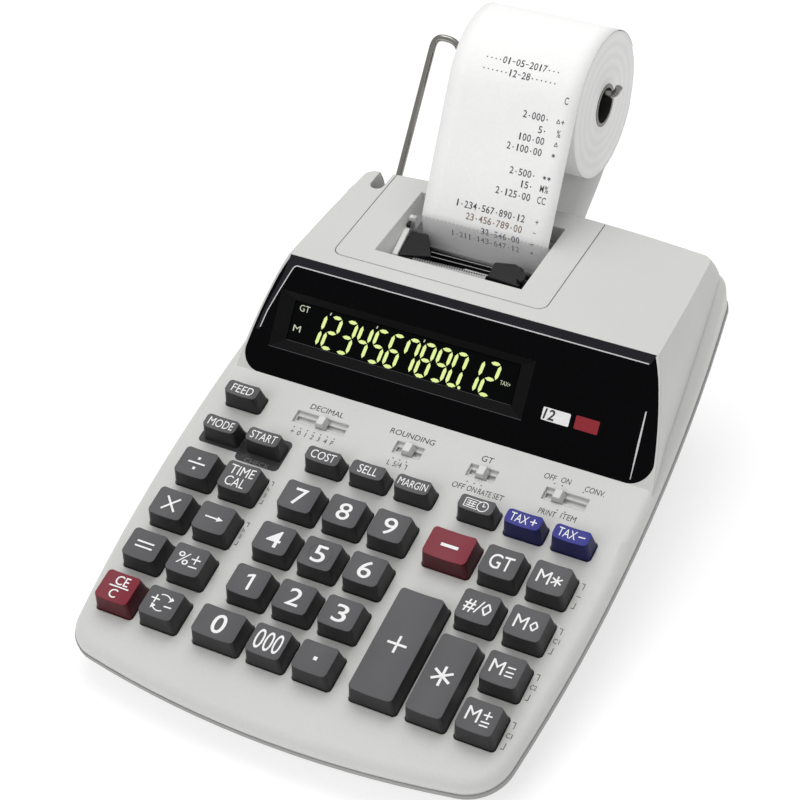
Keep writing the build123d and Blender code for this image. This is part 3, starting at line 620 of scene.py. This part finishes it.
side_marks = []
for y, letters in ((0.7, "~"), (-19.8, "C1"), (-40.3, "C2"), (-61.2, "C3")):
    side_marks += bracket(83.0, 84.2, y, 5.6, 3.0)
    side_marks.append(text(letters, 84.0, y, 1.9, 0.0, 2.4 if letters != "~" else 1.8))
for y in (1.3, -19.2):
    side_marks += bracket(-49.6, -48.6, y, 5.4, 3.6)
    side_marks += [text("h", -49.2, y + 1.6, 1.7, 0.0, 1.0), text("min", -49.2, y - 1.4, 1.3, 0.0, 2.0, 90)]
lay_print_and_painted_light_on("side_marks", side_marks, deck_at(0.05), "case", soft_ink)
lay_print_and_painted_light_on("start_label", [rounded(-88.4, 14.3, -66.0, 20.4, 1.8), rounded(-70.0, 11.2, -50.0, 26.4, 2.2)],
         deck_at(0.03), "case", label_ink)
lay_print_and_painted_light_on("check_mark", [text("CHECK", -59.7, 12.4, 2.2, 0.0, 11.2)], deck_at(0.07), "case", check_ink)


# ---- display ---------------------------------------------------------------------
digit_width, digit_height, stroke, lean = 4.6, 13.0, 1.45, 0.15
digit_foot, first_digit, digit_step = 16.9, -62.5, 7.06
segments_of = {"0": "abcdef", "1": "bc", "2": "abged", "3": "abgcd", "4": "fgbc", "5": "afgcd",
               "6": "afgedc", "7": "fabc", "8": "abcdefg", "9": "abcdfg"}


def seven(char, x, s):
    """Lit segments of a digit, each a stroke with blunt points, leaning to the right."""
    x0, x1, y0, y1, m = -digit_width / 2, digit_width / 2, 0.0, digit_height, digit_height / 2
    g = stroke * 0.53
    ends = {"a": (x0 + g, y1, x1 - g, y1), "b": (x1, y1 - g, x1, m + g), "c": (x1, m - g, x1, y0 + g),
            "d": (x0 + g, y0, x1 - g, y0), "e": (x0, m - g, x0, y0 + g), "f": (x0, y1 - g, x0, m + g),
            "g": (x0 + g, m, x1 - g, m)}
    k = stroke / 2
    tip = k * 0.7
    lit = []
    for segment in segments_of[char]:
        ax, ay, bx, by = ends[segment]
        size = math.hypot(bx - ax, by - ay)
        ux, uy = (bx - ax) / size, (by - ay) / size
        outline = [(ax - ux * tip, ay - uy * tip), (ax + ux * k - uy * k, ay + uy * k + ux * k),
                   (bx - ux * k - uy * k, by - uy * k + ux * k), (bx + ux * tip, by + uy * tip),
                   (bx - ux * k + uy * k, by - uy * k - ux * k), (ax + ux * k + uy * k, ay + uy * k - ux * k)]
        lit.append(polygon(*[(x + px + py * lean, s + py) for px, py in outline]))
    return lit


segments = []
for i, char in enumerate("123456789012"):
    segments += seven(char, first_digit + digit_step * i, digit_foot)
segments.append(disc(first_digit + digit_step * 9 + 3.5, digit_foot - 0.1, 0.65))
lay_print_and_painted_light_on("display_digits", segments, panel_at(tube_face), "case", digit_glow)
small = [text("GT", -68.6, 29.9, 2.6, 0.0, 4.6), text("M", -70.0, 21.3, 2.6, 0.0, 3.4),
         text("TAX+", 22.9, 23.4, 1.7, 0.0, 4.4)]
for i in (0, 3, 6):
    x = first_digit + digit_step * i
    small.append(bar(x + 5.9, 31.3, x + 5.5, 30.2, 0.45))
lay_print_and_painted_light_on("display_markers", small, panel_at(tube_face), "case", small_glow)


def path(points, width):
    """Line through a list of points."""
    return [bar(*points[i], *points[i + 1], width) for i in range(len(points) - 1)]


# Painted highlight: the light line where the panel's top and left bevel catches the light.
edge = [(77.5, 46.0), (-75.8, 46.0), (-77.0, 45.1), (-78.6, 40.8), (-81.2, 33.6), (-84.0, 25.0), (-85.4, 18.0)]
# Matte border round the panel's top and left, painted lighter as painted light where its chamfer faces up.
rim = [polygon((-79.6, 49.95), (79.6, 49.95), (78.2, 46.1), (-76.2, 46.1)),
       polygon((-79.6, 49.95), (-76.2, 46.1), (-78.5, 41.0), (-81.1, 33.6), (-83.9, 25.0), (-85.6, 17.0),
               (-87.2, 17.0), (-85.6, 25.0), (-83.2, 33.6), (-80.9, 41.0))]
# Painted reflection: a light streak down the panel's right side.
streak = polygon((81.4, 28.6), (80.9, 28.2), (81.1, 15.0), (81.7, 1.9), (82.0, 1.9), (81.9, 15.0))
lay_print_and_painted_light_on("panel_rim_matte_painted_light", rim, panel_at(0.05), "case", rim_matte_and_painted_light_ink)
lay_print_and_painted_light_on("panel_edge_highlight", path(edge, 0.45), panel_at(0.08), "case", panel_highlight_ink)
lay_print_and_painted_light_on("panel_streak_highlight", [streak], panel_at(0.06), "case", panel_highlight_ink)

# The four sloping faces round the window are a little duller than the panel, and painted a little lighter as painted
# light where they catch the light.
facing_out = Vector((0, -math.sin(panel_angle), math.cos(panel_angle)))
bezel = nodes["display_panel"].data
bezel.materials.append(bezel_painted_light_mat)
for face in bezel.polygons:
    if 0.8 < face.normal.dot(facing_out) < 0.99 and -0.081 < face.center.x < 0.035:
        face.material_index = 1
# Painted highlights: thin light lines along the bezel's lower edge and the window's lower ledge.
lay_print_and_painted_light_on("bezel_edge_highlight", [bar(-79.8, 11.7, 33.6, 11.7, 0.22)], panel_at(0.06), "case", bezel_highlight_ink)
lay_print_and_painted_light_on("window_edge_highlight", [bar(-73.2, 15.9, 27.3, 15.9, 0.16)], panel_at(window_ledge), "case", bezel_highlight_ink)
lay_print_and_painted_light_on("badge_white", [rounded(41.2, 14.3, 52.7, 19.4, 0.5)], panel_at(0.05), "case", white_ink)
lay_print_and_painted_light_on("badge_digits", [text("12", 44.3, 16.9, 4.0, 0.02, 4.5, slant=0.15)], panel_at(0.09), "case", grey_ink)
lay_print_and_painted_light_on("badge_red", [rounded(54.9, 14.4, 64.7, 19.7, 0.5)], panel_at(0.05), "case", red_ink)

# ---- paper: strip and tail ----------------------------------------------------------
# The strip leaves the feed roller, rises past the cutter and touches the roll from the front.
lift_y, lift_z = 98.95, 85.0
feed_y, feed_z, feed_r = 104.4, 69.5, 5.5
to_centre = math.hypot(roll_y - lift_y, roll_z - lift_z)
touch = math.atan2(roll_z - lift_z, roll_y - lift_y) + math.asin(wrap / to_centre) + math.pi / 2
touch_y = roll_y + wrap * math.cos(touch)
touch_z = roll_z + wrap * math.sin(touch)
free = math.hypot(touch_y - lift_y, touch_z - lift_z)


def strip_at(s, lift=0.0):
    """Centre line of the printed strip, s from the cutter; lift is outwards."""
    if s <= 0:
        return lift_y - lift, lift_z + s
    if s <= free:
        uy, uz = (touch_y - lift_y) / free, (touch_z - lift_z) / free
        return lift_y + uy * s - uz * lift, lift_z + uz * s + uy * lift
    a = touch - (s - free) / wrap
    return roll_y + (wrap + lift) * math.cos(a), roll_z + (wrap + lift) * math.sin(a)


def on_circle(y, z, radius, degrees):
    """Point on a circle in the YZ plane."""
    a = math.radians(degrees)
    return y + radius * math.cos(a), z + radius * math.sin(a)


def ribbon(name, line, thickness=0.16):
    """Paper web along a line in the YZ plane, as wide as the roll."""
    columns = 9
    left = paper_middle - paper_width / 2
    verts = []
    faces = []
    for y, z in line:
        for i in range(columns):
            x = left + paper_width * i / (columns - 1)
            verts.append((x / 1000, y / 1000, z / 1000))
    for r in range(len(line) - 1):
        for i in range(columns - 1):
            a = r * columns + i
            faces.append((a, a + 1, a + columns + 1, a + columns))
    mesh = bpy.data.meshes.new(name)
    mesh.from_pydata(verts, [], faces)
    for face in mesh.polygons:
        face.use_smooth = True
    mesh.materials.append(paper_mat)
    obj = bpy.data.objects.new(name, mesh)
    scene.collection.objects.link(obj)
    solid = obj.modifiers.new("thickness", "SOLIDIFY")
    solid.thickness = thickness / 1000
    solid.offset = 0.0
    return obj


under = [on_circle(feed_y, feed_z, feed_r, a) for a in range(-96, -181, -12)]
top_end = free + (touch - math.radians(20.0)) * wrap
rise = [strip_at(-11.0), strip_at(-6.0)] + [strip_at(top_end * i / 60) for i in range(61)]
strip = ribbon("paper_strip", under + rise)
hug = [on_circle(roll_y, roll_z, wrap, -30 - 6 * i) for i in range(11)]
slack = [(150.0, 82.6), (145.0, 79.9), (140.0, 77.2), (135.0, 74.4), (130.0, 71.6), (126.0, 69.5), (122.0, 67.6),
         (114.0, 64.9), (108.5, 64.05), (105.0, 63.98)]
tail = ribbon("paper_tail", hug + slack)
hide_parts("paper_tape")
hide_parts("paper_tape")

# Printed lines: height above the cutter, words, their right edge, sign column, ink.
lines = [
    (69.0, "····01-05-2017···", 4.2, "", print_ink), (64.3, "······12-28······", 4.2, "", print_ink),
    (58.4, "", 4.2, "C", print_ink), (49.8, "2·000·", 4.4, "^+", print_ink), (45.0, "5·", 4.3, "%", print_ink),
    (40.7, "100·00", 4.2, "^", print_ink), (36.1, "2·100·00", 4.1, "*", print_ink),
    (26.7, "2·500·", 3.6, "**", print_ink), (22.2, "15·", 3.3, "M%", print_ink),
    (17.5, "2·125·00", 3.2, "CC", print_ink),
    (8.6, "1·234·567·890·12", 2.8, "+", print_ink), (4.1, "23·456·789·00", 2.5, "-", print_red),
    (-0.65, "32·546·00", 2.3, "+", print_blue), (-5.2, "1·211·143·647·12", 2.1, "*", print_blue),
]
pitch = 1.95


def typed(words, right, s):
    """Typewriter figures, one column each, ending at a right edge."""
    shapes = []
    for i, char in enumerate(reversed(words)):
        x = right - pitch * (i + 0.5)
        if char == "·":
            shapes.append(disc(x, s - 0.3, 0.30, 8))
        elif char == "-":
            shapes.append(bar(x - 0.6, s, x + 0.6, s, 0.32))
        elif char == "+":
            shapes += [bar(x - 0.7, s, x + 0.7, s, 0.3), bar(x, s - 0.8, x, s + 0.8, 0.3)]
        elif char == "*":
            shapes += asterisk(x, s, 0.8, 0.28)
        elif char == "^":
            shapes += [bar(x - 0.7, s - 0.8, x + 0.7, s - 0.8, 0.28), bar(x - 0.7, s - 0.8, x, s + 0.8, 0.28),
                       bar(x + 0.7, s - 0.8, x, s + 0.8, 0.28)]
        else:
            shapes.append(text(char, x, s, 2.8, 0.006, 0.6 if char == "1" else 1.6))
    return shapes


def on_strip(x, s):
    """Just outside the strip's outer face."""
    y, z = strip_at(s, 0.13)
    return Vector((x, y, z)) / 1000


printed = []
for number, (s, words, right, sign, material) in enumerate(lines):
    sign_right = 8.6 + s * 0.037 + (0.7 if len(sign) == 2 else 0.1)
    shapes = typed(words, right, s) + typed(sign, sign_right, s)
    printed.append(lay_print_and_painted_light_on("printed_line_%02d" % (number + 1), shapes, on_strip, None, material))

# The strip's and the printed lines' placement is baked into their meshes.
for piece in [strip] + printed:
    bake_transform(piece)
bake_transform(tail)


# ---- small parts seen through the cover's slot ----------------------------------------
def block(name, corners, z0, z1, material, bevel):
    """Prism on a list of plan corners from z0 to z1, with rounded edges, fixed in the case."""
    count = len(corners)
    verts = [(x / 1000, y / 1000, z / 1000) for z in (z0, z1) for x, y in corners]
    faces = [tuple(range(count))[::-1], tuple(range(count, 2 * count))]
    for i in range(count):
        j = (i + 1) % count
        faces.append((i, j, count + j, count + i))
    mesh = bpy.data.meshes.new(name)
    mesh.from_pydata(verts, [], faces)
    mesh.update()
    mesh.materials.append(material)
    obj = bpy.data.objects.new(name, mesh)
    scene.collection.objects.link(obj)
    soft = obj.modifiers.new("edge", "BEVEL")
    soft.width = bevel / 1000
    soft.segments = 3
    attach(obj, "case")


comb_left, comb_right, comb_front = -36.0, -3.0, 76.4
tooth_pitch = 1.1
comb = [(comb_left, comb_front)]
for i in range(30):
    x = comb_left + tooth_pitch * i
    back = 78.9 + 0.045 * (x - comb_left)
    comb += [(x, back - 1.5), (x + 0.1, back), (x + 0.5, back), (x + 0.6, back - 1.5)]
comb.append((comb_right, comb_front))
block("paper_comb", comb[::-1], 78.3, 79.0, strip_mat, 0.02)
block("release_lever", [(-44.8, 76.7), (-42.4, 76.7), (-45.8, 96.2), (-48.2, 96.2)], 77.6, 80.0, knob_mat, 0.4)
block("lever_hook", [(-47.4, 94.4), (-44.3, 94.4), (-44.3, 97.2), (-47.4, 97.2)], 78.2, 81.6, black_mat, 0.5)
block("lever_clip", [(-47.6, 97.4), (-44.4, 97.4), (-44.4, 99.6), (-47.6, 99.6)], 80.9, 83.2, knob_mat, 0.6)
block("paper_guide", [(-41.8, 77.2), (-29.2, 81.2), (-37.2, 94.4), (-41.2, 94.1), (-44.9, 96.4)], 74.0, 79.8,
      black_mat, 0.4)
block("print_rail_back", [(-32.2, 86.9), (-4.4, 87.2), (-4.4, 87.5), (-32.2, 87.2)], 76.5, 77.0, strip_mat, 0.05)
block("print_rail_front", [(-31.0, 84.3), (-4.4, 84.5), (-4.4, 84.8), (-31.0, 84.6)], 76.5, 77.0, strip_mat, 0.05)
block("guide_rod", [(-14.0, 80.6), (-3.6, 80.6), (-3.6, 81.4), (-14.0, 81.4)], 77.3, 78.1, strip_mat, 0.2)
block("cassette_hood", [(-2.2, 77.6), (12.4, 76.6), (9.4, 87.6), (5.0, 89.2), (-3.3, 87.2)], 79.4, 80.6,
      black_mat, 0.5)
block("cassette_knob", [(10.0, 79.0), (12.0, 78.0), (13.2, 79.4), (12.6, 83.0), (10.6, 84.6), (9.4, 83.4)],
      80.7, 82.0, black_mat, 0.4)

# ---- floor, light and camera --------------------------------------------------------
def floor_paper(name):
    """White backdrop paper that glows a little, so that it stays white beside the shadow."""
    n = Nodes(name)
    cloud = n.spread(n.noise(6.0), 0.0, 1.0)
    n.link(n.mix(cloud, (0.45, 0.45, 0.45), (0.47, 0.47, 0.47)), n.shader.inputs["Base Color"])
    n.shader.inputs["Roughness"].default_value = 0.9
    n.shader.inputs["Emission Color"].default_value = (1.0, 1.0, 1.0, 1.0)
    n.shader.inputs["Emission Strength"].default_value = 0.62
    return n.material


bpy.ops.mesh.primitive_plane_add(size=12.0, location=(0, 0, -0.0002))
floor = bpy.context.object
floor.name = "floor"
floor.data.materials.append(floor_paper("floor_white"))

world = bpy.data.worlds.new("studio")
scene.world = world
world.use_nodes = True
sky = world.node_tree.nodes["Background"]
sky.inputs["Color"].default_value = (1.0, 1.0, 1.0, 1.0)
sky.inputs["Strength"].default_value = 0.52


def lamp(name, place, size, power, glossy=True):
    """Softbox aimed at the machine; glossy says whether reflections show it."""
    light = bpy.data.lights.new(name, "AREA")
    light.shape = "RECTANGLE"
    light.size = size[0]
    light.size_y = size[1]
    light.energy = power
    obj = bpy.data.objects.new(name, light)
    obj.location = place
    obj.rotation_euler = (light_aim - Vector(place)).to_track_quat("-Z", "Y").to_euler()
    obj.visible_glossy = glossy
    scene.collection.objects.link(obj)


light_aim = Vector((0, 0, 0.03))
lamp("top_light", (-0.25, 0.60, 1.6), (1.5, 1.1), 14.5)
lamp("front_light", (-0.38, -1.35, 1.15), (1.1, 0.9), 9, glossy=False)

camera_data = bpy.data.cameras.new("camera")
camera_data.sensor_width = 36.0
camera_data.lens = 97.85
camera_data.shift_x = 0.0246
camera_data.shift_y = -0.0143
camera = bpy.data.objects.new("camera", camera_data)
azimuth, elevation, roll = math.radians(-58.771), math.radians(41.51), math.radians(-5.224)
turn = (Matrix.Rotation(azimuth + math.pi / 2, 4, "Z") @ Matrix.Rotation(math.pi / 2 - elevation, 4, "X")
        @ Matrix.Rotation(roll, 4, "Z"))
camera.matrix_world = Matrix.Translation((0.30923, -0.52589, 0.62573)) @ turn
scene.collection.objects.link(camera)
scene.camera = camera
scene.view_settings.view_transform = "Standard"
